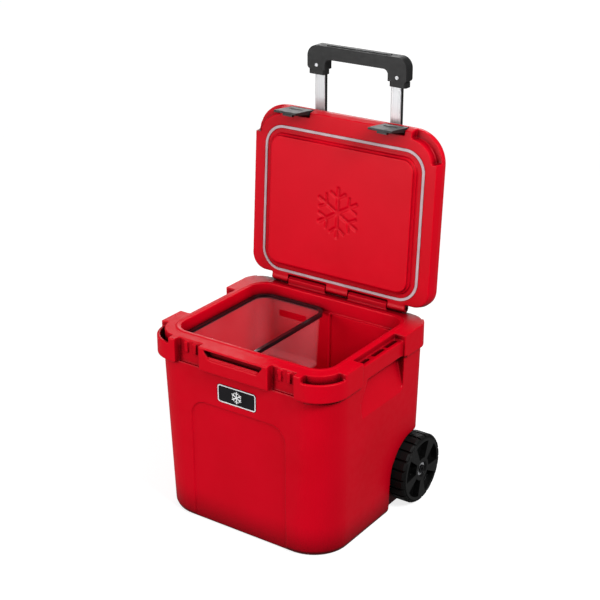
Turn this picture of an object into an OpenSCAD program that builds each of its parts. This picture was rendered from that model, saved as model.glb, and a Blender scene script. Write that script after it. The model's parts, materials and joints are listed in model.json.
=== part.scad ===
// Wheeled cooler chest with a telescoping handle.
// Frame: +Z up, front of the chest towards -Y, its right side towards +X.
// Origin: on the floor under the middle of the opening.
// The lid is modelled shut and swung open about its hinge, which is its rest position,
// and the handle is drawn fully out.

/* [Chest body] */
// Half width of the side walls at the rim
side_x = 244; // [203:1:293]
// Distance from the middle of the opening to the front wall at the rim
front_y = 207; // [172:1:249]
// Height of the rim above the floor
rim_z = 450; // [375:1:560]
// Draft of the side walls from rim to floor, per side
side_draft = 12; // [4:0.5:16]
// Draft of the front wall from rim to floor
front_draft = 4; // [2:0.5:10]
// Radius of the front vertical corners
corner_r = 76; // [60:1:85]
// Radius of the rear vertical corners
rear_corner_r = 44; // [36:1:60]
// Thickness of the moulded plastic skin
skin = 4.5; // [3:0.25:6]

/* [Opening] */
// Thickness of the side walls at the rim
side_wall = 39.5; // [34:0.5:50]
// Thickness of the front wall at the rim
front_wall = 40; // [36:0.5:50]
// Corner radius of the opening
open_r = 40; // [30:1:50]
// Depth of the ledge below the rim
ledge_depth = 36; // [24:1:60]
// Width of the ledge
ledge_w = 5; // [4:0.25:8]
// Height of the inside floor
floor_z = 62; // [40:1:90]
// Draft of the inside walls, per side
inside_draft = 9; // [4:0.5:14]
// Width of the divider groove in the front and rear walls
groove_w = 7; // [4:0.5:12]
// Depth of the divider groove
groove_depth = 2.2; // [1:0.1:3]

/* [Rim band] */
// Height of the band pads and corner ears
band_h = 56; // [45:1:70]
// How far the band stands out from the front wall
band_proud = 13; // [10:0.5:16]
// How far the corner ears stand out from the side walls
ear_proud = 6; // [4:0.5:9]
// Half length of the lowered shelf on each side
shelf_y = 86; // [60:1:100]
// Drop of the shelf and of the tie-down lips below the rim
lip_drop = 14; // [8:0.5:18]
// Inner radius of the tie-down slots
slot_in_r = 58; // [50:1:59]
// Width of the tie-down slots
slot_w = 10; // [5:0.5:12]
// Height of the seal bead
bead_h = 1.2; // [0.5:0.1:2]

/* [Lid] */
// Opening angle of the lid at its stop
lid_open = 93.5; // [85:0.5:95]
// Thickness of the lid
lid_t = 45; // [38:1:48]
// Gap between the rim and the lid
lid_gap = 2; // [1.5:0.1:4]
// Set-back of the sides of the lid from the corner ears
lid_side_back = 1; // [0:0.5:3]
// Overhang of the lid in front of the band
lid_front_over = 2; // [0:0.5:4]
// Distance of the rear edge of the lid in front of the pivot
lid_rear_gap = 7; // [5:0.5:9]
// Depth of the plug under the lid
plug_h = 12; // [8:0.5:20]
// Gap between the plug and the opening
plug_gap = 12; // [8:0.5:20]
// Width of the gasket
gasket_w = 6; // [4:0.5:9]
// Centre line of the gasket outside the opening
gasket_out = 8; // [6:0.5:12]

/* [Hinge] */
// Pivot distance behind the rear edge of the opening
hinge_back = 29; // [27:0.5:33]
// Distance of the rear wall behind the pivot
wall_behind = 5; // [4:0.5:8]
// Pivot height above the rim
hinge_up = 11; // [10:0.5:14]
// Pin diameter
hinge_pin_d = 8; // [6:0.5:10]
// Radius of the tub knuckles
knuckle_r = 9; // [7.5:0.25:9.5]
// Inner end of each tub knuckle
knuckle_in = 32; // [24:1:50]
// Distance of the outer end of each tub knuckle from the side wall
knuckle_edge = 106; // [96:1:130]
// Distance of the outer end of the lid lugs from the side wall
lug_edge = 58; // [50:1:70]
// Running clearance between the knuckles and lugs, along the pin
hinge_side_gap = 1.5; // [0.5:0.25:3]
// Radial clearance of the lid on its pins
pin_clear = 0.05; // [0.02:0.01:0.1]

/* [Latches] */
// Distance of each latch from the middle
latch_x = 126.5; // [110:0.5:140]
// Width of a latch
latch_w = 60; // [48:1:62]
// Length of a latch from its pivot to its tip
latch_len = 68; // [60:1:74]
// Pivot height above the rim
latch_up = 14; // [12:0.5:18]
// Pivot distance behind the face of the band
latch_in = 5; // [4:0.5:7]
// Clearance beside each latch in the chest
latch_side = 3.5; // [2:0.5:6]
// Angle that the latch hangs out at rest, from shut
latch_rest = 7.5; // [7:0.5:12]
// Pin diameter of the latches
latch_pin_d = 5; // [4:0.5:6]

/* [Handle] */
// Half distance between the tube centres
tube_x = 102; // [85:1:120]
// Distance of the tubes behind the rear wall
tube_back = 70; // [68:0.5:85]
// Width of the upper tubes
tube_w = 28; // [22:0.5:32]
// Depth of the upper tubes
tube_d = 12; // [10:0.5:16]
// Wall of every tube
tube_wall = 1.5; // [1:0.1:2.5]
// Clearance between one tube and the next, all round
tube_clear = 1; // [0.5:0.1:1.5]
// Drop of the top of the fixed tubes below the rim
outer_drop = 20; // [14:1:30]
// Height of the bottom of the fixed tubes
outer_tube_z = 96; // [90:1:120]
// Overlap of two stages when drawn out
stage_overlap = 52; // [45:1:70]
// How far the grip reaches outside the tube centres
grip_out = 30; // [24:1:36]
// Height of the grip bar
grip_bar_h = 30; // [24:1:36]
// Depth of the grip from front to back
grip_d = 28; // [24:1:30]
// Height of the grip over its legs
grip_h = 56; // [50:1:70]
// Travel of the release button
button_travel = 4; // [2:0.5:6]

/* [Wheels] */
// Radius of the tyres
wheel_r = 84; // [70:1:90]
// Width of the wheels
wheel_w = 48; // [36:1:52]
// How far the wheels stand out from the side walls at the rim
wheel_proud = 21; // [16:1:30]
// Distance of the axles in front of the rear wall
axle_front = 44; // [40:1:60]
// Clearance between the tyres and the floor while the chest stands upright
wheel_lift = 1.5; // [0.5:0.5:4]
// Axle diameter
axle_d = 12; // [10:0.5:16]
// Radial gap between the tyre and the wheel arch
arch_gap = 9; // [6:0.5:14]

/* [Basket] */
// Distance of the basket from the middle of the opening
basket_mid = 6; // [4:0.5:10]
// Depth of the basket below its rim
basket_h = 128; // [80:1:180]
// Wall of the basket
basket_wall = 2.4; // [1.6:0.1:4]
// Thickness of the basket rim
basket_rim_h = 9; // [6:0.5:12]
// Width of the basket rim
basket_rim_w = 8; // [6:0.5:12]
// Gap between the basket rim and the opening
basket_gap = 1.5; // [0.8:0.1:3]

/* [Hidden] */

$fn = 64;
big = 1000;
eps = 0.01;
fit_gap = 0.2;

// Chest
open_x = side_x - side_wall;
open_y = front_y - front_wall;
hinge_y = open_y + hinge_back;
rear_y = hinge_y + wall_behind;
band_y = front_y + band_proud;
ear_x = side_x + ear_proud;
latch_zone_w = latch_w + 2 * latch_side;
pad_x = latch_x - latch_zone_w / 2;
ear_in_x = latch_x + latch_zone_w / 2;
knuckle_out = side_x - knuckle_edge;
lug_out = side_x - lug_edge;
ledge_z = rim_z - ledge_depth;
lip_z = rim_z - lip_drop;
band_z = rim_z - band_h;
edge_r = 12;
foam_top = rim_z - 20;
ear_c = [ear_x - corner_r, -(band_y - corner_r)];
slot_foot = band_z - 10;
latch_zone_y = front_y - 5;

// Lid
lid_x = ear_x - lid_side_back;
lid_front_y = band_y + lid_front_over;
lid_rear_y = hinge_y - lid_rear_gap;
lid_z = rim_z + lid_gap;
lid_top = lid_z + lid_t;
hinge_z = rim_z + hinge_up;
gasket_x = open_x + gasket_out;
gasket_y = open_y + gasket_out;
gasket_r = open_r + gasket_out;
gasket_seat = 3;

// Latches
latch_y = band_y - latch_in;
latch_z = rim_z + latch_up;
keeper_w = 34;
keeper_slot = 14;
keeper_top = rim_z - 6;
keeper_h = 24.5;
keeper_depth = 9;

// Wheels
axle_y = rear_y - axle_front;
axle_z = wheel_r + wheel_lift;
wheel_out_x = side_x + wheel_proud;
arch_r = wheel_r + arch_gap;
wheel_in_x = wheel_out_x - wheel_w;
arch_in_x = wheel_in_x - 4;
core_r = wheel_r - 9;
bush_wall = 2.5;
washer_t = 2.5;
hub_face_x = wheel_out_x - 7;

// Handle
tube_y = rear_y + tube_back;
stage_step = tube_wall + tube_clear;
stage_stop = 4;
mid_w = tube_w + 2 * stage_step;
mid_d = tube_d + 2 * stage_step;
out_w = mid_w + 2 * stage_step;
out_d = mid_d + 2 * stage_step;
outer_top = rim_z - outer_drop;
stage_len = outer_top - outer_tube_z - stage_stop;
mid_bottom = outer_top - stage_overlap;
mid_top = mid_bottom + stage_len;
up_bottom = mid_top - stage_overlap;
up_top = up_bottom + stage_len;
guide_h = 5;
collar_h = 12;
grip_z = up_top - 20;
grip_top = grip_z + grip_h;
bar_z = grip_top - grip_bar_h;
leg_in = tube_x - tube_w / 2 - 4;
grip_half_w = tube_x + grip_out;
grip_wall = 3;

// Basket
basket_x0 = -open_x + basket_gap;
basket_half_y = open_y - basket_gap;
basket_rim_z = ledge_z + 0.3;
basket_r = open_r - basket_gap;
basket_seat = 4;

// ---------- outlines ----------

// Rounded rectangle from x0,y0 to x1,y1 with its own radius at each corner:
// front left, front right, rear right, rear left
module outline(x0, y0, x1, y1, r) {
    difference() {
        translate([x0, y0]) square([x1 - x0, y1 - y0]);
        corner_cut(x0, y0, 1, 1, r[0]);
        corner_cut(x1, y0, -1, 1, r[1]);
        corner_cut(x1, y1, -1, -1, r[2]);
        corner_cut(x0, y1, 1, -1, r[3]);
    }
}

module corner_cut(x, y, sx, sy, r) {
    translate([x, y]) scale([sx, sy]) difference() {
        translate([-1, -1]) square(r + 1);
        translate([r, r]) circle(r);
    }
}

module round_rect(x, y, r) {
    outline(-x, -y, x, y, [r, r, r, r]);
}

module slab(z, h = eps) {
    translate([0, 0, z]) linear_extrude(h) children();
}

// Outline of the chest body, grown by a share t of the draft and by a constant
module body_outline(t, grow = 0) {
    x = side_x - side_draft * t + grow;
    outline(-x, -(front_y - front_draft * t + grow), x, rear_y + grow,
        [corner_r + 14 * t + grow, corner_r + 14 * t + grow, rear_corner_r + grow, rear_corner_r + grow]);
}

// Closed form of the chest body between two heights, shrunk by inset
module body_form(inset, z_top) {
    hull() {
        slab(inset, eps) body_outline(1, -edge_r * 0.75 - inset);
        slab(edge_r * 0.3 + inset, eps) body_outline(1, -edge_r * 0.28 - inset);
        slab(edge_r + inset, eps) body_outline(1 - edge_r / rim_z, -inset);
        slab(z_top, eps) body_outline(1 - z_top / rim_z, -inset);
    }
}

// Closed form of the inside space, grown by a constant
module inside_form(grow) {
    top_x = open_x - ledge_w;
    top_y = open_y - ledge_w;
    hull() {
        slab(floor_z - grow) round_rect(top_x - inside_draft + grow - 6, top_y - inside_draft + grow - 6, open_r);
        slab(floor_z - grow + 8) round_rect(top_x - inside_draft + grow, top_y - inside_draft + grow, open_r);
        slab(ledge_z + 1) round_rect(top_x + grow, top_y + grow, open_r);
    }
}

// Turns a part drawn for the closed lid into the open position
module opened() {
    translate([0, hinge_y, hinge_z]) rotate([-lid_open, 0, 0]) translate([0, -hinge_y, -hinge_z])
        children();
}

module both_sides() {
    children();
    mirror([1, 0, 0]) children();
}

// Cylinder along X from x0 to x1
module rod_x(x0, x1, y, z, r) {
    translate([x0, y, z]) rotate([0, 90, 0]) cylinder(h = x1 - x0, r = r);
}

// Sector of a ring about a front ear's corner, between two radii and heights
module ear_ring(r0, r1, z0, z1, a0 = -87, a1 = -8) {
    translate([ear_c[0], ear_c[1], z0]) rotate([0, 0, a0])
        rotate_extrude(angle = a1 - a0) translate([r0, 0]) square([r1 - r0, z1 - z0]);
}

// ---------- chest ----------

module rim_ring() {
    slab(lip_z, rim_z - lip_z)
        outline(-side_x, -front_y, side_x, rear_y, [corner_r, corner_r, rear_corner_r, rear_corner_r]);
}

// Corner ears and centre pad, which stand out from the walls
module band() {
    ear_outline_r = [corner_r, corner_r, rear_corner_r, rear_corner_r];
    slab(band_z, band_h) intersection() {
        outline(-ear_x, -band_y, ear_x, rear_y, ear_outline_r);
        union() {
            translate([-pad_x, -band_y]) square([2 * pad_x, 40]);
            both_sides() {
                translate([ear_in_x, -band_y]) square([200, band_y - shelf_y]);
                translate([side_x - 10, shelf_y]) square([60, 200]);
            }
        }
    }
    // the ears run out into the walls below
    both_sides() slab(band_z - 5, 5) intersection() {
        outline(-ear_x + 4, -band_y + 5, ear_x - 4, rear_y, ear_outline_r);
        translate([ear_in_x + 5, -band_y]) square([200, band_y - shelf_y]);
    }
}

module knuckles() {
    both_sides() difference() {
        union() {
            rod_x(knuckle_in, knuckle_out, hinge_y, hinge_z, knuckle_r);
            translate([knuckle_in, hinge_y - knuckle_r - 2, rim_z - 6])
                cube([knuckle_out - knuckle_in, 2 * knuckle_r - 2, hinge_up + 6]);
            translate([knuckle_in, hinge_y - knuckle_r - 2, hinge_z - 1])
                cube([knuckle_out - knuckle_in, knuckle_r, knuckle_r * 0.6]);
        }
        rod_x(knuckle_in - 1, knuckle_out + 1, hinge_y, hinge_z, hinge_pin_d / 2);
    }
}

// Recess for a latch, with room for its hinge above the rim
module latch_zone() {
    translate([pad_x, -band_y - 10, band_z - 1])
        cube([latch_zone_w, band_y + 10 - latch_zone_y, band_h + 10]);
}

module keeper() {
    difference() {
        translate([latch_x - keeper_w / 2, -latch_zone_y - keeper_depth, keeper_top - keeper_h])
            cube([keeper_w, keeper_depth + 1, keeper_h]);
        translate([latch_x - keeper_slot / 2, -latch_zone_y - keeper_depth - 1, keeper_top - keeper_h - 1])
            cube([keeper_slot, keeper_depth + 3, keeper_h + 2]);
    }
}

// Finger scoop in the centre pad
scoop_x = pad_x - 13;
scoop_top = rim_z - 5;
scoop_foot = rim_z - 26;
module scoop() {
    translate([0, -front_y + 3, 0]) rotate([90, 0, 0]) slab(0, 30)
        polygon([[-scoop_x, scoop_top], [scoop_x, scoop_top],
            [scoop_x - 16, scoop_foot], [16 - scoop_x, scoop_foot]]);
}

module scoop_lip() {
    translate([0, -front_y - 5, 0]) rotate([90, 0, 0]) slab(0, 5)
        polygon([[11 - scoop_x, scoop_foot + 7], [scoop_x - 11, scoop_foot + 7],
            [scoop_x - 15.5, scoop_foot - 0.5], [15.5 - scoop_x, scoop_foot - 0.5]]);
}

// Hand pocket: deep under the rim, sloping out flush at its foot
pocket_top = rim_z - 52;
pocket_foot = rim_z - 147;
pocket_deep = 25;
module pocket(grow = 0) {
    intersection() {
        translate([side_x - 40, 0, 0]) rotate([90, 0, 90]) slab(0, 60)
            polygon([[-56 - grow, pocket_top + grow], [97 + grow, pocket_top + grow],
                [97 + grow, pocket_foot + 18], [78, pocket_foot - grow],
                [-72 - grow, pocket_foot - grow], [-80 - grow, pocket_top - 50]]);
        translate([0, 120, 0]) rotate([90, 0, 0]) slab(0, 240)
            polygon([[side_x - pocket_deep - grow, pocket_top + grow], [side_x + 20, pocket_top + grow],
                [side_x + 20, pocket_foot - 30], [side_x - 2.5 - grow, pocket_foot - grow]]);
    }
}

// Slots down from the side shelf into the pocket
module shelf_slots() {
    for (y = [-57, 4, 58])
        translate([side_x - 20, y - 22, pocket_top - 4]) cube([9, 44, 80]);
}

module arch(grow = 0) {
    rod_x(arch_in_x - grow, side_x + 20, axle_y, axle_z, arch_r + grow);
    translate([arch_in_x - grow, axle_y - arch_r - grow, -1])
        cube([60, arch_r + grow + 100, axle_z + 1]);
    translate([arch_in_x - grow, axle_y, -1]) cube([60, 100, axle_z + arch_r + grow + 1]);
}

// Shallow panel in the front wall, which follows its draft
panel_x = 128;
panel_top = rim_z - 142;
panel_depth = 2.5;
module front_panel(grow = 0) {
    lean = atan(front_draft / rim_z);
    translate([0, -front_y + panel_depth + grow, rim_z]) rotate([90 + lean, 0, 0]) slab(0, 20 + grow)
        outline(-panel_x - grow, -rim_z - 10, panel_x + grow, panel_top - rim_z + grow,
            [1, 1, 38 + grow, 38 + grow]);
}

// Space inside the skin, filled with foam
module foam_form(less) {
    difference() {
        body_form(skin + less, foam_top - less);
        inside_form(skin + less);
        slab(ledge_z - skin - less, big) round_rect(open_x + skin + less, open_y + skin + less, open_r + skin);
        both_sides() {
            arch(skin + less);
            pocket(skin + less);
            translate([side_x - 24 - less, -84 - less, pocket_top - skin - 8])
                cube([60, 168 + 2 * less, 100]);
            translate([latch_x - 40 - less, -band_y, band_z - skin - less])
                cube([80 + 2 * less, band_y - latch_zone_y + skin + less, 100]);
            translate([ear_c[0] - 26, -band_y, slot_foot - skin - less]) cube([100, corner_r + less, 100]);
        }
        translate([-scoop_x - 6 - less, -band_y, scoop_foot - 8 - less])
            cube([2 * (scoop_x + 6 + less), band_y - front_y + 3 + skin + less, 100]);
        front_panel(skin + less);
        badge_slab(-skin - less, badge_back - skin - less, 20);
    }
}

// Vertical grooves in the rear and front walls, which follow the inside draft
module divider_grooves() {
    lean = atan(inside_draft / (ledge_z - floor_z));
    len = 140;
    for (s = [-1, 1])
        translate([0, s * (open_y - ledge_w), ledge_z]) rotate([-s * lean, 0, 0])
            translate([-groove_w / 2, s > 0 ? -6 : -groove_depth, -len])
                cube([groove_w, 6 + groove_depth, len + 1]);
}

port_x = 0;
port_y = 60;
port_r = 14;

// Holes for the bracket screws, in the rear wall
screw_x = 60;
upper_screw_z = outer_top - 24;
lower_screw_z = outer_tube_z + 16;
module bracket_screw_holes(r, depth) {
    both_sides() for (z = [upper_screw_z, lower_screw_z])
        translate([screw_x, rear_y + 1, z]) rotate([90, 0, 0]) cylinder(h = depth + 1, r = r);
}

insert_r = 15;
insert_x = arch_in_x - 13;

module tub_shell() {
    color([0.78, 0.02, 0.1]) difference() {
        union() {
            body_form(0, rim_z - 3);
            rim_ring();
            band();
            knuckles();
            seal_bead();
        }
        inside_form(0);
        slab(ledge_z, 100) round_rect(open_x, open_y, open_r);
        difference() {
            union() {
                both_sides() latch_zone();
                scoop();
            }
            both_sides() keeper();
            scoop_lip();
        }
        both_sides() {
            // lowered shelf, with its slots and the pocket under it
            translate([side_x - 22, -shelf_y, lip_z]) cube([60, 2 * shelf_y, 50]);
            shelf_slots();
            pocket();
            arch();
            ear_ring(slot_in_r, 120, lip_z, rim_z + 5);
            ear_ring(slot_in_r, slot_in_r + slot_w, slot_foot, rim_z + 5);
            rod_x(insert_x - fit_gap, arch_in_x + 1, axle_y, axle_z, insert_r);
        }
        front_panel();
        divider_grooves();
        badge_recess();
        bracket_screw_holes(2.5, 22);
        foam_form(0);
        translate([port_x, port_y, -1]) cylinder(h = skin + 3, r = port_r);
    }
}

// Raised bead that the gasket closes on
module seal_bead() {
    slab(rim_z - 2, bead_h + 2) difference() {
        round_rect(gasket_x + 1.5, gasket_y + 1.5, gasket_r + 1.5);
        round_rect(gasket_x - 1.5, gasket_y - 1.5, gasket_r - 1.5);
    }
}

module tub_foam() {
    color([0.93, 0.88, 0.7]) difference() {
        foam_form(fit_gap);
        both_sides() rod_x(insert_x - 1, arch_in_x, axle_y, axle_z, insert_r + 1);
        bracket_screw_holes(3.5, 23);
        translate([port_x, port_y, 0]) cylinder(h = skin + 3, r = port_r + 2);
    }
}

module tub_port_plug() {
    color([0.15, 0.15, 0.15]) {
        translate([port_x, port_y, 0.8]) cylinder(h = skin + 1, r = port_r - fit_gap);
        translate([port_x, port_y, skin + fit_gap]) cylinder(h = 2, r = port_r + 1.5);
    }
}

badge_w = 104;
badge_h = 43;
badge_z = rim_z - 104;
badge_r = 7;
badge_back = front_y - front_draft * (1 - (badge_z - badge_h / 2) / rim_z) - 2.6;
// Rounded plate on the front wall, with its back face at y0
module badge_slab(inset, y0, t) {
    translate([0, -y0, badge_z]) rotate([90, 0, 0]) slab(0, t)
        round_rect(badge_w / 2 - inset, badge_h / 2 - inset, badge_r - inset);
}

module badge_recess() {
    badge_slab(-fit_gap, badge_back, 10);
}

module badge_plate() {
    color([0.07, 0.07, 0.08]) badge_slab(0, badge_back + eps, 3);
}

// White border and a plain six-armed frost star
module badge_mark() {
    face = badge_back + 3 + 2 * eps;
    color([0.92, 0.92, 0.93]) {
        difference() {
            badge_slab(0.6, face, 0.5);
            badge_slab(3, face - 1, 3);
        }
        translate([0, -face, badge_z]) rotate([90, 0, 0]) slab(0, 0.5)
            for (a = [0, 60, 120]) rotate(a) {
                translate([-1.2, -14.5]) square([2.4, 29]);
                for (s = [-1, 1]) translate([0, s * 8]) for (b = [-1, 1])
                    rotate(s * b * 55 - (s < 0 ? 180 : 0)) translate([-0.9, 0]) square([1.8, 6]);
            }
    }
}

module hinge_pins() {
    color([0.75, 0.76, 0.78]) both_sides()
        rod_x(6, lug_out - 6, hinge_y, hinge_z, hinge_pin_d / 2 - pin_clear);
}

// ---------- handle, fixed stage ----------

module tube_outline(w, d, r = 3) {
    round_rect(w / 2, d / 2, r);
}

module tube(x, z0, len, w, d) {
    translate([x, tube_y, z0]) linear_extrude(len) difference() {
        tube_outline(w, d);
        tube_outline(w - 2 * tube_wall, d - 2 * tube_wall, 1.5);
    }
}

bracket_half = tube_x + out_w / 2 + 8;
bracket_front = rear_y + 0.1;
bracket_back = tube_y + out_d / 2 + 5;

// Moulded housing that ties the two fixed tubes to the rear wall
module bracket(z0, h) {
    difference() {
        slab(z0, h) difference() {
            outline(-bracket_half, bracket_front, bracket_half, bracket_back, [4, 4, 12, 12]);
            // hollow between the tubes, open to the rear
            outline(-tube_x + out_w / 2 + 8, bracket_front + 8, tube_x - out_w / 2 - 8, bracket_back + 20,
                [6, 6, 1, 1]);
            both_sides() translate([tube_x, tube_y]) tube_outline(out_w, out_d);
            // lightening pockets between the wall and the tubes
            both_sides() outline(tube_x - out_w / 2 - 2, bracket_front + 8, bracket_half - 6,
                tube_y - out_d / 2 - 5, [4, 4, 4, 4]);
        }
        children();
    }
}

module upper_bracket() {
    color([0.11, 0.11, 0.12]) bracket(outer_top - 44, 40) bracket_clear_holes();
}

module lower_bracket() {
    color([0.11, 0.11, 0.12]) bracket(outer_tube_z - 4, 36) bracket_clear_holes();
}

module bracket_clear_holes() {
    both_sides() for (z = [upper_screw_z, lower_screw_z])
        translate([screw_x, bracket_front - 1, z]) rotate([-90, 0, 0]) cylinder(h = 12, r = 3.2);
}

module bracket_screws() {
    color([0.6, 0.61, 0.63]) both_sides() for (z = [upper_screw_z, lower_screw_z])
        translate([screw_x, bracket_front + 8.1, z]) rotate([90, 0, 0]) difference() {
            union() {
                cylinder(h = 26, r = 2.5 - eps);
                translate([0, 0, -3]) cylinder(h = 3, r = 6);
            }
            translate([0, 0, -3.5]) cylinder(h = 2, r = 2, $fn = 6);
        }
}

module outer_tube_left() {
    color([0.86, 0.87, 0.88]) tube(-tube_x, outer_tube_z, stage_len + stage_stop, out_w, out_d);
}

module outer_tube_right() {
    color([0.86, 0.87, 0.88]) tube(tube_x, outer_tube_z, stage_len + stage_stop, out_w, out_d);
}

// Guide that caps the top of a tube and centres the next stage in it
module guide(x, top, w, d, in_w, in_d) {
    gap = 0.25;
    translate([x, tube_y, top + fit_gap]) linear_extrude(guide_h) difference() {
        tube_outline(w + 3, d + 3, 4);
        tube_outline(in_w + 2 * gap, in_d + 2 * gap, 3);
    }
    translate([x, tube_y, top - 14]) linear_extrude(14 + fit_gap) difference() {
        tube_outline(w - 2 * tube_wall - 0.1, d - 2 * tube_wall - 0.1, 1.5);
        tube_outline(in_w + 2 * gap, in_d + 2 * gap, 1.3);
    }
}

module outer_guide_left() {
    color([0.1, 0.1, 0.11]) guide(-tube_x, outer_top, out_w, out_d, mid_w, mid_d);
}

module outer_guide_right() {
    color([0.1, 0.1, 0.11]) guide(tube_x, outer_top, out_w, out_d, mid_w, mid_d);
}

// ---------- axles ----------

module axle_inserts() {
    color([0.7, 0.6, 0.35]) both_sides() difference() {
        rod_x(insert_x, arch_in_x, axle_y, axle_z, insert_r - eps);
        rod_x(insert_x + 2, arch_in_x + 1, axle_y, axle_z, axle_d / 2);
    }
}

module axle_bolt() {
    difference() {
        union() {
            rod_x(insert_x + 3, hub_face_x + washer_t + 1, axle_y, axle_z, axle_d / 2 - eps);
            rod_x(hub_face_x + washer_t + fit_gap, hub_face_x + washer_t + 4, axle_y, axle_z, 10);
        }
        translate([hub_face_x + washer_t + 1.5, axle_y, axle_z]) rotate([0, 90, 0])
            cylinder(h = 5, r = 4.5, $fn = 6);
    }
}

module axle_right() {
    color([0.2, 0.2, 0.21]) axle_bolt();
}

module axle_left() {
    color([0.2, 0.2, 0.21]) mirror([1, 0, 0]) axle_bolt();
}

module axle_washers() {
    color([0.85, 0.86, 0.87]) both_sides() difference() {
        rod_x(hub_face_x + 0.2, hub_face_x + washer_t, axle_y, axle_z, 16);
        rod_x(hub_face_x - 1, hub_face_x + 5, axle_y, axle_z, axle_d / 2 + 0.1);
    }
}

// ---------- wheels ----------

lug_count = 22;
lug_h = 5;
module tyre() {
    width = wheel_w;
    translate([wheel_in_x, axle_y, axle_z]) rotate([0, 90, 0]) {
        rotate_extrude() polygon([[core_r, 0], [wheel_r - lug_h - 3, 0], [wheel_r - lug_h, 5],
            [wheel_r - lug_h, width - 5], [wheel_r - lug_h - 3, width], [core_r, width]]);
        for (i = [0:lug_count - 1]) rotate([0, 0, (i + 0.5) * 360 / lug_count])
            rotate_extrude(angle = 360 / lug_count - 4) polygon([[core_r + 1, 2], [wheel_r - 3, 2],
                [wheel_r, 7], [wheel_r, width - 7], [wheel_r - 3, width - 2], [core_r + 1, width - 2]]);
    }
}

spokes = 5;
module wheel_core() {
    face = wheel_w;
    dish = 16;
    translate([wheel_in_x, axle_y, axle_z]) rotate([0, 90, 0]) difference() {
        cylinder(h = face, r = core_r - eps);
        // dished pockets between the spokes, on both faces
        for (i = [0:spokes - 1]) rotate([0, 0, i * 360 / spokes + 14]) {
            translate([0, 0, face - dish]) pocket_sector(dish + 1);
            translate([0, 0, -1]) pocket_sector(dish + 1);
        }
        translate([0, 0, face - 7]) cylinder(h = 10, r = 20);
        translate([0, 0, -1]) cylinder(h = face + 2, r = axle_d / 2 + bush_wall);
    }
}

module pocket_sector(h) {
    rotate_extrude(angle = 360 / spokes - 26) translate([28, 0]) square([core_r - 34, h]);
}

module wheel_bush() {
    difference() {
        rod_x(wheel_in_x - 2, hub_face_x, axle_y, axle_z, axle_d / 2 + bush_wall - eps);
        rod_x(wheel_in_x - 4, hub_face_x + 1, axle_y, axle_z, axle_d / 2 + pin_clear);
    }
}

module hub_ring() {
    difference() {
        rod_x(hub_face_x + eps, wheel_out_x - 1, axle_y, axle_z, 20 - eps);
        rod_x(hub_face_x - 1, wheel_out_x + 1, axle_y, axle_z, 17.5);
    }
}

module tyre_right() {
    color([0.06, 0.06, 0.06]) tyre();
}

module tyre_left() {
    color([0.06, 0.06, 0.06]) mirror([1, 0, 0]) tyre();
}

module wheel_core_right() {
    color([0.1, 0.1, 0.1]) wheel_core();
}

module wheel_core_left() {
    color([0.1, 0.1, 0.1]) mirror([1, 0, 0]) wheel_core();
}

module wheel_bush_right() {
    color([0.8, 0.78, 0.7]) wheel_bush();
}

module wheel_bush_left() {
    color([0.8, 0.78, 0.7]) mirror([1, 0, 0]) wheel_bush();
}

module hub_ring_right() {
    color([0.15, 0.15, 0.15]) hub_ring();
}

module hub_ring_left() {
    color([0.15, 0.15, 0.15]) mirror([1, 0, 0]) hub_ring();
}

// ---------- basket ----------

basket_x1 = -basket_mid;
bowl_inset = 6;
bowl_draft = 7;
module bowl_outline(inset) {
    outline(basket_x0 + inset, -basket_half_y + inset, basket_x1 - inset, basket_half_y - inset,
        [basket_r - inset, basket_r - inset, basket_r - inset, basket_r - inset]);
}

module bowl_form(inset, z0, z1) {
    hull() {
        slab(z0) bowl_outline(bowl_inset + bowl_draft + inset);
        slab(z1 - eps) bowl_outline(bowl_inset + inset);
    }
}

module basket_bowl() {
    z0 = basket_rim_z - basket_h;
    mid_x = (basket_x0 + basket_x1) / 2;
    slot_pitch = (basket_half_y - 50) / 3;
    color([0.85, 0.8, 0.82, 0.35]) difference() {
        bowl_form(0, z0, basket_rim_z + basket_seat);
        bowl_form(basket_wall, z0 + basket_wall, basket_rim_z + basket_seat + 2);
        // drain slots in the floor and hand holes at the ends
        for (i = [-3:3]) translate([mid_x - 45, i * slot_pitch - 5, z0 - 1]) cube([90, 10, 5]);
        for (s = [-1, 1]) translate([mid_x - 40, s * basket_half_y - 25, basket_rim_z - 38])
            cube([80, 50, 18]);
    }
}

// Rim that caps the top edge of the bowl and rests on the ledge
module basket_rim() {
    color([0.06, 0.06, 0.07]) {
        slab(basket_rim_z, basket_seat + eps) difference() {
            bowl_outline(0);
            bowl_outline(bowl_inset - fit_gap);
        }
        slab(basket_rim_z + basket_seat + eps, basket_rim_h - basket_seat) difference() {
            bowl_outline(0);
            bowl_outline(basket_rim_w + 1);
        }
    }
}

// ---------- lid, drawn shut ----------

module lid_outline(inset) {
    outline(-lid_x + inset, -lid_front_y + inset, lid_x - inset, lid_rear_y - min(inset, skin + 2),
        [corner_r - inset, corner_r - inset, 42 - inset, 42 - inset]);
}

// Closed form of the lid, shrunk by inset
module lid_form(inset) {
    hull() {
        slab(lid_z + inset) lid_outline(inset + 4);
        slab(lid_z + lid_t * 0.4) lid_outline(inset);
        slab(lid_z + lid_t * 0.72) lid_outline(inset + 0.6);
        slab(lid_z + lid_t * 0.88 - inset / 2) lid_outline(inset + 4);
        slab(lid_top - inset - eps) lid_outline(inset + 13);
    }
}

// Plug under the lid, with a step round it, shrunk by inset
module plug(inset) {
    slab(lid_z - plug_h + inset, plug_h + 8)
        round_rect(open_x - plug_gap - inset, open_y - plug_gap - inset, open_r - plug_gap - inset / 2);
    slab(lid_z - plug_h * 0.45 + inset, plug_h + 6)
        round_rect(open_x - plug_gap + 5 - inset, open_y - plug_gap + 5 - inset, open_r - plug_gap + 5 - inset / 2);
}

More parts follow.
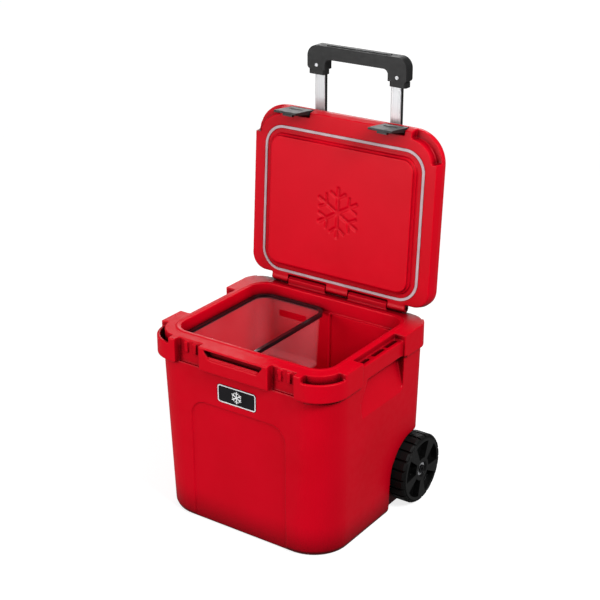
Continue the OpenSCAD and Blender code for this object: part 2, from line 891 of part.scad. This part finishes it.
lug_r = hinge_up - 0.5;
lug_in = knuckle_in - hinge_side_gap;
module lug(x0, x1) {
    rod_x(x0, x1, hinge_y, hinge_z, lug_r);
    translate([x0, lid_rear_y - 12, lid_z]) cube([x1 - x0, hinge_y - lid_rear_y + 12, hinge_up - lid_gap + lug_r]);
}

module lid_lugs() {
    lug(-lug_in, lug_in);
    lug(knuckle_out + hinge_side_gap, lug_out);
    lug(-lug_out, -knuckle_out - hinge_side_gap);
}

// Room in the rear edge of the lid for a tub knuckle
module knuckle_notch(grow = 0) {
    both_sides() translate([knuckle_in - hinge_side_gap - grow, hinge_y - knuckle_r - 3.5 - grow, lid_z - 1])
        cube([knuckle_out - knuckle_in + 2 * hinge_side_gap + 2 * grow, 40, hinge_up + knuckle_r + 1 + grow]);
}

latch_room = latch_w / 2 + 1.5;
module latch_recess(grow = 0) {
    both_sides() translate([latch_x - latch_room - grow, -lid_front_y - 5, lid_z - 5])
        cube([2 * (latch_room + grow), lid_front_y + 5 - (latch_y - 8) + grow, latch_up - lid_gap + 17 + grow]);
}

// Notches over the tie-down slots, in the lower half of the lid
notch_h = 20;
module tie_notches(grow = 0) {
    both_sides() ear_ring(slot_in_r - grow, 130, lid_z - 5, lid_z + notch_h + grow, -87 - grow, -8 + grow);
}

module gasket_ring(w, z0, h) {
    slab(z0, h) difference() {
        round_rect(gasket_x + w / 2, gasket_y + w / 2, gasket_r + w / 2);
        round_rect(gasket_x - w / 2, gasket_y - w / 2, gasket_r - w / 2);
    }
}

// Plain frost star pressed into the plug
module star_mark(depth) {
    translate([0, 0, lid_z - plug_h - 1]) linear_extrude(depth + 1) for (a = [0, 60, 120]) rotate(a) {
        translate([-4.5, -62]) square([9, 124]);
        for (s = [-1, 1]) translate([0, s * 34]) for (b = [-1, 1])
            rotate(s * b * 55 - (s < 0 ? 180 : 0)) translate([-3.5, 0]) square([7, 26]);
    }
}

module lid_foam_form(less) {
    difference() {
        union() {
            lid_form(skin + less);
            plug(skin + less);
        }
        knuckle_notch(skin + less);
        latch_recess(skin + less);
        tie_notches(skin + less);
        gasket_ring(gasket_w + 2 * skin + 2 * less, lid_z - 1, gasket_seat + skin + less + 1);
        translate([-big / 2, lid_rear_y - 8, 0]) cube([big, 100, big]);
    }
}

pin_hole_r = latch_pin_d / 2;
pin_reach = 6;
module lid_shell() {
    color([0.78, 0.02, 0.1]) opened() difference() {
        union() {
            lid_form(0);
            plug(0);
            lid_lugs();
        }
        knuckle_notch();
        latch_recess();
        tie_notches();
        gasket_ring(gasket_w, lid_z - 1, gasket_seat + 1);
        star_mark(2);
        lid_foam_form(0);
        rod_x(-lug_out - 1, lug_out + 1, hinge_y, hinge_z, hinge_pin_d / 2 + pin_clear);
        both_sides() rod_x(latch_x - latch_room - pin_reach, latch_x + latch_room + pin_reach,
            -latch_y, latch_z, pin_hole_r);
        translate([port_x, port_y, lid_top - skin - 3]) cylinder(h = skin + 8, r = port_r);
    }
}

module lid_foam() {
    color([0.93, 0.88, 0.7]) opened() difference() {
        lid_foam_form(fit_gap);
        both_sides() rod_x(latch_x - latch_room - pin_reach - 2, latch_x + latch_room + pin_reach + 2,
            -latch_y, latch_z, pin_hole_r + 1);
        translate([port_x, port_y, lid_top - skin - 3]) cylinder(h = skin + 8, r = port_r + 2);
    }
}

module lid_port_plug() {
    color([0.15, 0.15, 0.15]) opened() {
        translate([port_x, port_y, lid_top - skin - 1.5]) cylinder(h = skin + 0.7, r = port_r - fit_gap);
        translate([port_x, port_y, lid_top - skin - 2.5]) cylinder(h = 2, r = port_r + 1.5);
    }
}

module lid_gasket() {
    z0 = rim_z + bead_h + 0.2;
    color([0.9, 0.84, 0.86]) opened() gasket_ring(gasket_w - 2 * eps, z0, lid_z + gasket_seat - eps - z0);
}

module latch_pins() {
    color([0.7, 0.71, 0.73]) opened() both_sides()
        rod_x(latch_x - latch_room - pin_reach + 0.5, latch_x + latch_room + pin_reach - 0.5,
            -latch_y, latch_z, pin_hole_r - eps);
}

// ---------- latches, drawn shut about their pivot ----------

plate_front = 7.5;
plate_tip_front = 1.5;
plate_back = 3.5;
hook_back = 9.5;
barrel_r = 6;
hook_top = latch_z - keeper_top + keeper_h + 2.8;
module latch() {
    difference() {
        union() {
            translate([-latch_w / 2, 0, 0]) rotate([90, 0, 90]) slab(0, latch_w)
                polygon([[-plate_front, 5], [0, 6], [plate_back + 1, 4], [plate_back, -4],
                    [plate_back, -latch_len + 1], [plate_back - 1, -latch_len],
                    [-plate_tip_front + 1, -latch_len], [-plate_tip_front, -latch_len + 1.5]]);
            rod_x(-latch_w / 2, latch_w / 2, 0, 0, barrel_r);
            // hook bar and the rib that runs in the keeper slot
            translate([-15, plate_back - 1, -hook_top - 9]) cube([30, hook_back - plate_back + 1, 9]);
            translate([-keeper_slot / 2 + 1.5, plate_back - 1, -hook_top - 1])
                cube([keeper_slot - 3, 6, keeper_h]);
        }
        rod_x(-latch_w, latch_w, 0, 0, latch_pin_d / 2 + pin_clear);
        // finger pocket in the outer face
        translate([-17, -plate_front - 3, -27]) cube([34, 6, 9]);
        translate([-6, -plate_front - 3, -42]) cube([12, 6.5, 16]);
        // rear relief on both sides of the rib
        for (s = [-1, 1]) translate([s * 20 - 7, 1.2, -latch_len + 8]) cube([14, 10, 46]);
    }
}

module latch_at_rest(x) {
    opened() translate([x, -latch_y, latch_z]) rotate([-latch_rest, 0, 0]) latch();
}

module latch_left() {
    color([0.12, 0.12, 0.13]) latch_at_rest(-latch_x);
}

module latch_right() {
    color([0.12, 0.12, 0.13]) latch_at_rest(latch_x);
}

// ---------- handle, moving stages ----------

module middle_tube_left() {
    color([0.88, 0.89, 0.9]) tube(-tube_x, mid_bottom, stage_len, mid_w, mid_d);
}

module middle_tube_right() {
    color([0.88, 0.89, 0.9]) tube(tube_x, mid_bottom, stage_len, mid_w, mid_d);
}

module middle_guides() {
    color([0.1, 0.1, 0.11]) both_sides() guide(tube_x, mid_top, mid_w, mid_d, tube_w, tube_d);
}

// Plug at the foot of a tube, which slides in the next larger one
module foot_plug(z0, in_w, in_d, slide_w, slide_d) {
    translate([tube_x, tube_y, z0 - 3 - fit_gap]) linear_extrude(3) tube_outline(slide_w, slide_d, 3);
    translate([tube_x, tube_y, z0 - fit_gap - eps]) linear_extrude(18)
        tube_outline(in_w - 0.1, in_d - 0.1, 1.4);
}

module middle_plugs() {
    color([0.1, 0.1, 0.11]) both_sides() difference() {
        foot_plug(mid_bottom, mid_w - 2 * tube_wall, mid_d - 2 * tube_wall, mid_w + 1, mid_d + 1);
        // the next stage's rod and foot pass over this seat
        translate([tube_x, tube_y, mid_bottom - 10]) cylinder(h = 40, r = 3.5);
    }
}

module upper_tube_left() {
    color([0.9, 0.91, 0.92]) difference() {
        tube(-tube_x, up_bottom, stage_len, tube_w, tube_d);
        grip_screw_holes();
    }
}

module upper_tube_right() {
    color([0.9, 0.91, 0.92]) difference() {
        tube(tube_x, up_bottom, stage_len, tube_w, tube_d);
        grip_screw_holes();
    }
}

module upper_plugs() {
    color([0.1, 0.1, 0.11]) both_sides() difference() {
        foot_plug(up_bottom, tube_w - 2 * tube_wall, tube_d - 2 * tube_wall, tube_w + 1, tube_d + 1);
        translate([tube_x, tube_y, up_bottom - 10]) cylinder(h = 40, r = rod_r + 0.4);
    }
}

// Grip outline seen from the front: bar and two legs
module grip_outline(inset) {
    difference() {
        outline(-grip_half_w + inset, grip_z + inset, grip_half_w - inset, grip_top - inset,
            [8 - inset, 8 - inset, 26 - inset, 26 - inset]);
        outline(-leg_in - inset, grip_z - 50, leg_in + inset, bar_z + inset, [1, 1, 12 + inset, 12 + inset]);
    }
}

// Half of the grip from y0 to y1, hollow towards the split at the tube centres
module grip_half(y0, y1, cavity_y0, cavity_y1) {
    difference() {
        translate([0, y1, 0]) rotate([90, 0, 0]) slab(0, y1 - y0) grip_outline(0);
        translate([0, cavity_y1, 0]) rotate([90, 0, 0]) slab(0, cavity_y1 - cavity_y0) grip_outline(grip_wall);
        both_sides() translate([tube_x, tube_y, grip_z - 1]) linear_extrude(30)
            tube_outline(tube_w + 0.3, tube_d + 0.3);
        // slot for the release button
        translate([-button_half - 0.4, tube_y - 5.4, grip_top - grip_wall - 1])
            cube([2 * button_half + 0.8, 10.8, grip_wall + 2]);
        grip_screw_holes();
        both_sides() translate([grip_screw_x, tube_y - grip_d / 2 - 1, grip_screw_z]) rotate([-90, 0, 0])
            cylinder(h = 1 + screw_seat, r = 4.5);
    }
}

button_half = leg_in;
rod_r = 2.8;
grip_screw_x = tube_x + 5.5;
grip_screw_z = grip_z + 10;
// depth of the recess that a grip screw's head sits in
screw_seat = 1.6;
// Holes for the screws that clamp both halves of the grip on the tubes
module grip_screw_holes() {
    both_sides() translate([grip_screw_x, 0, grip_screw_z]) rotate([-90, 0, 0]) cylinder(h = big, r = 2.1);
}

module grip_front() {
    color([0.13, 0.13, 0.14])
        grip_half(tube_y - grip_d / 2, tube_y - 0.05, tube_y - grip_d / 2 + grip_wall, tube_y + 1);
}

module grip_rear() {
    color([0.13, 0.13, 0.14])
        grip_half(tube_y + 0.05, tube_y + grip_d / 2, tube_y - 1, tube_y + grip_d / 2 - grip_wall);
}

module grip_collars() {
    color([0.09, 0.09, 0.1]) both_sides() slab(grip_z - collar_h, collar_h - 0.1) difference() {
        outline(leg_in + 2, tube_y - grip_d / 2 + 2, grip_half_w - 2, tube_y + grip_d / 2 - 2, [6, 6, 6, 6]);
        translate([tube_x, tube_y]) tube_outline(tube_w + 0.1, tube_d + 0.1);
    }
}

module grip_screws() {
    color([0.5, 0.51, 0.53]) both_sides() translate([grip_screw_x, tube_y - grip_d / 2, grip_screw_z])
        rotate([-90, 0, 0]) difference() {
            union() {
                translate([0, 0, 1]) cylinder(h = grip_d - 1.5, r = 2);
                translate([0, 0, 0.2]) cylinder(h = screw_seat - 0.2 - eps, r = 4);
            }
            cylinder(h = 1.1, r = 1.6, $fn = 6);
        }
}

button_top = grip_top + 1.5;
cross_z = bar_z + 8;
module release_button() {
    color([0.2, 0.2, 0.21]) difference() {
        union() {
            translate([-button_half, tube_y - 5, cross_z + 4]) cube([2 * button_half, 10, button_top - cross_z - 4]);
            translate([-tube_x - 6, tube_y - 4, cross_z]) cube([2 * tube_x + 12, 8, 5]);
        }
        both_sides() translate([tube_x, tube_y, cross_z - 1]) cylinder(h = 4, r = rod_r + eps);
    }
}

module release_rods() {
    color([0.7, 0.71, 0.73]) both_sides()
        translate([tube_x, tube_y, up_bottom + 8]) cylinder(h = cross_z + 3 - eps - up_bottom - 8, r = rod_r);
}

tub_shell();
tub_foam();
tub_port_plug();
badge_plate();
badge_mark();
hinge_pins();
upper_bracket();
lower_bracket();
bracket_screws();
outer_tube_left();
outer_tube_right();
outer_guide_left();
outer_guide_right();
axle_inserts();
axle_left();
axle_right();
axle_washers();
basket_bowl();
basket_rim();
lid_shell();
lid_foam();
lid_port_plug();
lid_gasket();
latch_pins();
latch_left();
latch_right();
middle_tube_left();
middle_tube_right();
middle_guides();
middle_plugs();
upper_tube_left();
upper_tube_right();
upper_plugs();
grip_front();
grip_rear();
grip_collars();
grip_screws();
release_button();
release_rods();
tyre_left();
tyre_right();
wheel_core_left();
wheel_core_right();
wheel_bush_left();
wheel_bush_right();
hub_ring_left();
hub_ring_right();
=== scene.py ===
"""Looks of the wheeled cooler chest: moulded red shells, clear basket, black fittings, aluminium tubes."""

import json
import math

import bmesh
import bpy
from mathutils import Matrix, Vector


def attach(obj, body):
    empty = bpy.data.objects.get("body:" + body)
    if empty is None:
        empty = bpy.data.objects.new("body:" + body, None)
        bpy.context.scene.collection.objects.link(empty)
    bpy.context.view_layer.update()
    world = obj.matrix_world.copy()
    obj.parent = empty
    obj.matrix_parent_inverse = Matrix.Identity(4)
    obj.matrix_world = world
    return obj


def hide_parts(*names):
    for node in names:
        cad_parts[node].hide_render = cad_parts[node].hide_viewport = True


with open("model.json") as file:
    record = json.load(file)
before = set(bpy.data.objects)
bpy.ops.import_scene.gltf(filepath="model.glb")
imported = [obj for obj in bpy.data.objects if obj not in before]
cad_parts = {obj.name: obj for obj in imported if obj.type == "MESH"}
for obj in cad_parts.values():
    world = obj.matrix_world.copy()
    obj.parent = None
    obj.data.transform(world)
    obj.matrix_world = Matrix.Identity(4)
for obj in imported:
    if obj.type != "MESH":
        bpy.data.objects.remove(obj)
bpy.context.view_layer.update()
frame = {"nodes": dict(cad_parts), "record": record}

NODES = frame["nodes"]
BODIES = frame["record"]["behaviour"]["bodies"]
BODY_OF = {node: body for body, nodes in BODIES.items() for node in nodes}
SLOT_OF = {part["node"]: part["material_slot"] for part in frame["record"]["subparts"]}

MM = 0.001


# ---------- materials ----------


# the range that a noise texture's values mostly keep to
NOISE_LOW, NOISE_HIGH = 0.3, 0.7

# sockets of a Mix node that mixes colours
MIX_FACTOR, MIX_FIRST, MIX_SECOND, MIX_RESULT = 0, 6, 7, 2

BLACK_EDGE_RADIUS = 0.8 * MM
BLACK_GRAIN = 1800
EDGE_SAMPLES = 4

# Pointiness on a flat, and on an edge sharp enough for the full edge colour
EDGE_START, EDGE_FULL = 0.54, 0.66

# the open share of a point's surroundings at which the painted crevice shade starts, and at which it is
# darkest
CREVICE_SHADE_START, CREVICE_SHADE_FULL = 0.96, 0.4
CREVICE_SHADE_SAMPLES = 6

# how squarely a face has to look sideways to take the painted shade of a tube's side channel
CHANNEL_SHADE_FACING = 0.8


def srgb(red, green, blue):
    """Linear colour from 0-255 display values."""
    def linear(value):
        value /= 255
        return value / 12.92 if value <= 0.04045 else ((value + 0.055) / 1.055) ** 2.4

    return (linear(red), linear(green), linear(blue), 1.0)


class Look:
    """A node material in the making: a Principled shader with helpers for colour, gloss and bump."""

    def __init__(self, name, roughness=0.5, metallic=0.0, specular=0.5):
        self.material = bpy.data.materials.new(name)
        self.material.use_nodes = True
        self.nodes = self.material.node_tree.nodes
        self.links = self.material.node_tree.links
        self.shader = self.nodes["Principled BSDF"]
        self.shader.inputs["Roughness"].default_value = roughness
        self.shader.inputs["Metallic"].default_value = metallic
        self.shader.inputs["Specular IOR Level"].default_value = specular
        self.place = self.nodes.new("ShaderNodeTexCoord").outputs["Object"]

    def noise(self, scale, detail=3.0, stretch=None):
        """Noise texture in object space, with cells of about 1/scale metres."""
        texture = self.nodes.new("ShaderNodeTexNoise")
        texture.inputs["Scale"].default_value = scale
        texture.inputs["Detail"].default_value = detail
        source = self.place
        if stretch:
            mapping = self.nodes.new("ShaderNodeMapping")
            mapping.inputs["Scale"].default_value = stretch
            self.links.new(source, mapping.inputs["Vector"])
            source = mapping.outputs["Vector"]
        self.links.new(source, texture.inputs["Vector"])
        return texture.outputs["Fac"]

    def ramp(self, factor, stops):
        """Colour ramp over (position, colour) stops."""
        node = self.nodes.new("ShaderNodeValToRGB")
        elements = node.color_ramp.elements
        while len(elements) < len(stops):
            elements.new(0.5)
        for element, (position, colour) in zip(elements, stops):
            element.position = position
            element.color = colour
        self.links.new(factor, node.inputs["Fac"])
        return node.outputs["Color"]

    def mottled(self, noise, low, high):
        """Colour that wanders between two others with a noise."""
        return self.ramp(noise, [(NOISE_LOW, low), (NOISE_HIGH, high)])

    def span(self, noise, low, high):
        """Maps a noise's usual values to low..high."""
        node = self.nodes.new("ShaderNodeMapRange")
        node.inputs["From Min"].default_value = NOISE_LOW
        node.inputs["From Max"].default_value = NOISE_HIGH
        node.inputs["To Min"].default_value = low
        node.inputs["To Max"].default_value = high
        self.links.new(noise, node.inputs["Value"])
        return node.outputs["Result"]

    def mix(self, factor, first, second):
        """Goes from the first colour to the second; either is a fixed colour or a node's output."""
        node = self.nodes.new("ShaderNodeMix")
        node.data_type = "RGBA"
        self.links.new(factor, node.inputs[MIX_FACTOR])
        for index, value in ((MIX_FIRST, first), (MIX_SECOND, second)):
            socket = node.inputs[index]
            if isinstance(value, tuple):
                socket.default_value = value
            else:
                self.links.new(value, socket)
        return node.outputs[MIX_RESULT]

    def colour(self, output):
        self.links.new(output, self.shader.inputs["Base Color"])

    def gloss(self, output):
        self.links.new(output, self.shader.inputs["Roughness"])

    def bump(self, height, strength, distance):
        """Adds a relief on top of whatever bends the normal already."""
        node = self.nodes.new("ShaderNodeBump")
        node.inputs["Strength"].default_value = strength
        node.inputs["Distance"].default_value = distance
        self.links.new(height, node.inputs["Height"])
        previous = self.shader.inputs["Normal"].links
        if previous:
            self.links.new(previous[0].from_socket, node.inputs["Normal"])
        self.links.new(node.outputs["Normal"], self.shader.inputs["Normal"])

    def soft_edges(self, radius):
        """Rounds the shading at sharp edges, as a mould's small radii do."""
        node = self.nodes.new("ShaderNodeBevel")
        node.samples = EDGE_SAMPLES
        node.inputs["Radius"].default_value = radius
        self.links.new(node.outputs["Normal"], self.shader.inputs["Normal"])

    def painted_crevice_shade(self, reach, colour, shade_colour, strength):
        """Painted shade: mixes towards a dark shade colour where other surfaces crowd in closer than reach.
        """
        cover = self.nodes.new("ShaderNodeAmbientOcclusion")
        cover.samples = CREVICE_SHADE_SAMPLES
        cover.inputs["Distance"].default_value = reach
        node = self.nodes.new("ShaderNodeMapRange")
        node.inputs["From Min"].default_value = CREVICE_SHADE_START
        node.inputs["From Max"].default_value = CREVICE_SHADE_FULL
        node.inputs["To Max"].default_value = strength
        self.links.new(cover.outputs["AO"], node.inputs["Value"])
        return self.mix(node.outputs["Result"], colour, shade_colour)

    def edge_factor(self):
        """0 on flats to 1 on sharp outer edges."""
        point = self.nodes.new("ShaderNodeNewGeometry").outputs["Pointiness"]
        node = self.nodes.new("ShaderNodeMapRange")
        node.inputs["From Min"].default_value = EDGE_START
        node.inputs["From Max"].default_value = EDGE_FULL
        self.links.new(point, node.inputs["Value"])
        return node.outputs["Result"]


def moulded_red():
    """Rotationally moulded polyethylene: slow mottling, fine orange peel, painted highlights on the sharp
    edges and painted shade in crevices and recesses.
    """
    look = Look("moulded_red", specular=0.1)
    slow = look.mottled(look.noise(7, 2), srgb(202, 0, 24), srgb(210, 0, 28))
    # painted highlight: the red turns paler on sharp outer edges
    edge_highlighted = look.mix(look.edge_factor(), slow, srgb(222, 30, 50))
    # painted shade: the red darkens towards a deep red in crevices and recesses
    look.colour(look.painted_crevice_shade(80 * MM, edge_highlighted, srgb(64, 0, 4), 0.95))
    look.gloss(look.span(look.noise(60, 4), 0.34, 0.46))
    look.bump(look.noise(1400, 2), 0.25, 0.00012)
    look.bump(look.noise(180, 3), 0.15, 0.0003)
    return look.material


def black_plastic(name, tone, roughness):
    """Spark-eroded black moulding with a fine matt grain, slightly blue; tone is its grey on 0-255."""

    def grey(share, blue_share):
        return srgb(tone * share, tone * share, tone * blue_share)

    look = Look(name, specular=0.35)
    look.soft_edges(BLACK_EDGE_RADIUS)
    base = look.mottled(look.noise(25, 3), grey(0.85, 0.86), grey(1.15, 1.17))
    look.colour(look.mix(look.edge_factor(), base, grey(1.7, 1.72)))
    look.gloss(look.span(look.noise(90, 3), roughness - 0.06, roughness + 0.06))
    look.bump(look.noise(BLACK_GRAIN, 2), 0.35, 0.0001)
    return look.material


def tyre_rubber():
    look = Look("tyre_rubber", specular=0.2)
    look.soft_edges(BLACK_EDGE_RADIUS)
    look.colour(look.ramp(look.noise(40, 5), [(0.3, srgb(4, 4, 4)), (0.72, srgb(11, 11, 11))]))
    look.gloss(look.span(look.noise(120, 3), 0.55, 0.75))
    look.bump(look.noise(900, 4), 0.5, 0.0002)
    return look.material


def gasket_rubber():
    look = Look("gasket_rubber", roughness=0.55, specular=0.35)
    look.colour(look.mottled(look.noise(30, 3), srgb(178, 156, 162), srgb(200, 180, 186)))
    look.bump(look.noise(1200, 2), 0.3, 0.0001)
    return look.material


def clear_plastic():
    look = Look("clear_plastic", roughness=0.07, specular=0.9)
    look.shader.inputs["Alpha"].default_value = 0.1
    # the pale base is the plastic's milky tone; its pink tint is painted light, standing in for the red
    # glow of the tub's walls seen through it
    look.colour(look.mottled(look.noise(12, 2), srgb(236, 120, 128), srgb(250, 150, 158)))
    look.bump(look.noise(35, 3), 0.2, 0.0006)
    return look.material


def glossy_black(name):
    look = Look(name, roughness=0.16, specular=0.5)
    look.colour(look.mottled(look.noise(30, 2), srgb(14, 13, 16), srgb(24, 22, 26)))
    look.bump(look.noise(300, 2), 0.08, 0.0001)
    return look.material


def tube_metal():
    """Satin anodised aluminium with faint drawing lines, and painted shade on the sideways faces of the
    tubes, in place of the shade in their side channels.
    """
    look = Look("tube_metal", metallic=0.55, specular=0.5)
    lines = look.noise(700, 2, stretch=(1, 1, 0.01))
    metal = look.ramp(lines, [(0.35, srgb(192, 194, 196)), (0.65, srgb(210, 211, 212))])
    normal = look.nodes.new("ShaderNodeSeparateXYZ")
    geometry = look.nodes.new("ShaderNodeNewGeometry")
    look.links.new(geometry.outputs["True Normal"], normal.inputs["Vector"])
    size = look.nodes.new("ShaderNodeMath")
    size.operation = "ABSOLUTE"
    look.links.new(normal.outputs["X"], size.inputs[0])
    side = look.nodes.new("ShaderNodeMath")
    side.operation = "GREATER_THAN"
    side.inputs[1].default_value = CHANNEL_SHADE_FACING
    look.links.new(size.outputs["Value"], side.inputs[0])
    # painted shade: faces that look sideways are painted near black, standing in for the shade in the
    # tubes' side channels
    look.colour(look.mix(side.outputs["Value"], metal, srgb(18, 18, 19)))
    look.gloss(look.span(lines, 0.3, 0.42))
    look.bump(lines, 0.1, 0.0001)
    return look.material


def turned_metal(name, colour, roughness, metallic=1.0):
    """Small machined metal parts, with scratches that run along Z."""
    look = Look(name, metallic=metallic)
    darker = tuple(channel * 0.8 for channel in colour[:3]) + (1.0,)
    scratches = look.noise(500, 3, stretch=(1, 1, 0.1))
    look.colour(look.mottled(scratches, darker, colour))
    look.gloss(look.span(scratches, roughness - 0.08, roughness + 0.08))
    look.bump(scratches, 0.1, 0.0001)
    return look.material


def foam_core():
    look = Look("foam_core", roughness=0.9, specular=0.2)
    look.colour(look.mottled(look.noise(200, 6), srgb(222, 205, 160), srgb(242, 230, 192)))
    look.bump(look.noise(900, 5), 0.8, 0.0005)
    return look.material


def white_plastic(name):
    look = Look(name, roughness=0.4)
    look.colour(look.mottled(look.noise(60, 2), srgb(234, 234, 236), srgb(247, 247, 248)))
    look.bump(look.noise(900, 2), 0.1, 0.0001)
    return look.material


# the look of each material slot in the record
LOOKS = {
    "red_plastic": moulded_red(),
    "foam": foam_core(),
    "black_plastic": black_plastic("handle_plastic", 13, 0.5),
    "latch_plastic": black_plastic("latch_plastic", 20, 0.5),
    "badge_plastic": glossy_black("badge_plastic"),
    "badge_white": white_plastic("badge_white"),
    "clear_plastic": clear_plastic(),
    "rim_plastic": glossy_black("rim_plastic"),
    "tube_metal": tube_metal(),
    "steel": turned_metal("steel", srgb(214, 215, 218), 0.35, 0.5),
    "dark_steel": turned_metal("dark_steel", srgb(40, 40, 42), 0.4),
    "brass": turned_metal("brass", srgb(196, 168, 96), 0.35),
    "gasket_rubber": gasket_rubber(),
    "tyre_rubber": tyre_rubber(),
    "wheel_plastic": black_plastic("wheel_plastic", 6, 0.42),
    "bush_plastic": white_plastic("bush_plastic"),
}


# ---------- pieces ----------


WELD = 0.001 * MM
SKIN_VOXEL = 1.5 * MM
SKIN_SMOOTHING = 3


def dress(obj, slot):
    """Gives an object the look of a slot in the record, in place of any that it has."""
    obj.data.materials.clear()
    obj.data.materials.append(LOOKS[slot])


def applied(obj):
    """The object's mesh with its modifiers worked in."""
    evaluated = obj.evaluated_get(bpy.context.evaluated_depsgraph_get())
    return bpy.data.meshes.new_from_object(evaluated)


def stand_in(name, mesh, node):
    """A new piece that stands for a CAD node."""
    obj = bpy.data.objects.new(name, mesh)
    bpy.context.collection.objects.link(obj)
    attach(obj, BODY_OF[node])
    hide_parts(node)
    slot = SLOT_OF[node]
    dress(obj, slot)


def gathered(nodes):
    """One mesh with the surfaces of some CAD nodes, welded."""
    surface = bmesh.new()
    for node in nodes:
        surface.from_mesh(NODES[node].data)
    bmesh.ops.remove_doubles(surface, verts=surface.verts, dist=WELD)
    mesh = bpy.data.meshes.new("surface")
    surface.to_mesh(mesh)
    surface.free()
    return mesh


def moulded(name, shell, foam, keep):
    """A skin over a shell, taken solid with its foam, with the soft edges that a mould gives.

    The skin is made of voxels and smoothed, and keep is the share of its faces that stay.
    """
    work = bpy.data.objects.new("work", gathered([shell, foam]))
    bpy.context.collection.objects.link(work)
    remesh = work.modifiers.new("voxels", "REMESH")
    remesh.mode = "VOXEL"
    remesh.voxel_size = SKIN_VOXEL
    smooth = work.modifiers.new("soft_edges", "SMOOTH")
    smooth.factor = 0.5
    smooth.iterations = SKIN_SMOOTHING
    lighter = work.modifiers.new("lighter", "DECIMATE")
    lighter.ratio = keep
    mesh = applied(work)
    bpy.data.objects.remove(work)
    mesh.shade_smooth()
    stand_in(name, mesh, shell)


moulded("tub_moulding", "tub_shell", "tub_foam", keep=0.13)
moulded("lid_moulding", "lid_shell", "lid_foam", keep=0.15)

for node, obj in NODES.items():
    dress(obj, SLOT_OF[node])

# light passes straight through the thin clear walls
NODES["basket_bowl"].visible_shadow = False
NODES["basket_bowl"].visible_diffuse = False


# ---------- floor, light and camera ----------


WHITE = (1, 1, 1, 1)

FLOOR_SIZE = 60
FLOOR_GLOW = 0.8
WORLD_GLOW = 0.2

# each light's width and height, its power in watts, and its place
LIGHTS = {
    "front_box": ((1.5, 1.5), 72, (-1.2, -2.9, 1.1)),
    "side_box": ((1.0, 1.0), 104, (2.5, -0.6, 2.6)),
    "overhead_box": ((1.4, 1.4), 10, (0.0, 0.3, 3.0)),
    "rear_box": ((4.0, 3.0), 130, (-3.4, 6.5, 2.6)),
}
# the point that the lights face
LIT_POINT = (0, 0, 0.45)

# the photograph's viewing angle: lens and sensor in millimetres, place in metres, turns in degrees
CAMERA_LENS = 85.54
CAMERA_SENSOR = 36
CAMERA_PLACE = (1.6949, -2.4112, 1.7512)
CAMERA_TILT = 67.1
CAMERA_TURN = 34.7


def pale_floor():
    bpy.ops.mesh.primitive_plane_add(size=FLOOR_SIZE)
    floor = bpy.context.object
    floor.name = "floor"
    look = Look("pale_floor", roughness=0.9, specular=0.0)
    look.colour(look.mottled(look.noise(0.8, 2), srgb(160, 160, 160), srgb(166, 166, 166)))
    look.shader.inputs["Emission Color"].default_value = WHITE
    look.shader.inputs["Emission Strength"].default_value = FLOOR_GLOW
    floor.data.materials.append(look.material)
    floor.visible_diffuse = False
    floor.visible_glossy = False


def soft_light(name, size, power, place):
    light = bpy.data.lights.new(name, "AREA")
    light.shape = "RECTANGLE"
    light.size, light.size_y = size
    light.energy = power
    obj = bpy.data.objects.new(name, light)
    bpy.context.collection.objects.link(obj)
    obj.location = place
    obj.rotation_euler = (Vector(LIT_POINT) - Vector(place)).to_track_quat("-Z", "Y").to_euler()


def studio():
    world = bpy.data.worlds.new("studio")
    world.use_nodes = True
    background = world.node_tree.nodes["Background"]
    background.inputs["Color"].default_value = WHITE
    background.inputs["Strength"].default_value = WORLD_GLOW
    bpy.context.scene.world = world
    for name, (size, power, place) in LIGHTS.items():
        soft_light(name, size, power, place)


def camera():
    data = bpy.data.cameras.new("camera")
    data.lens = CAMERA_LENS
    data.sensor_width = CAMERA_SENSOR
    obj = bpy.data.objects.new("camera", data)
    bpy.context.collection.objects.link(obj)
    obj.location = CAMERA_PLACE
    obj.rotation_euler = (math.radians(CAMERA_TILT), 0, math.radians(CAMERA_TURN))
    bpy.context.scene.camera = obj
    bpy.context.scene.view_settings.view_transform = "Standard"


pale_floor()
studio()
camera()
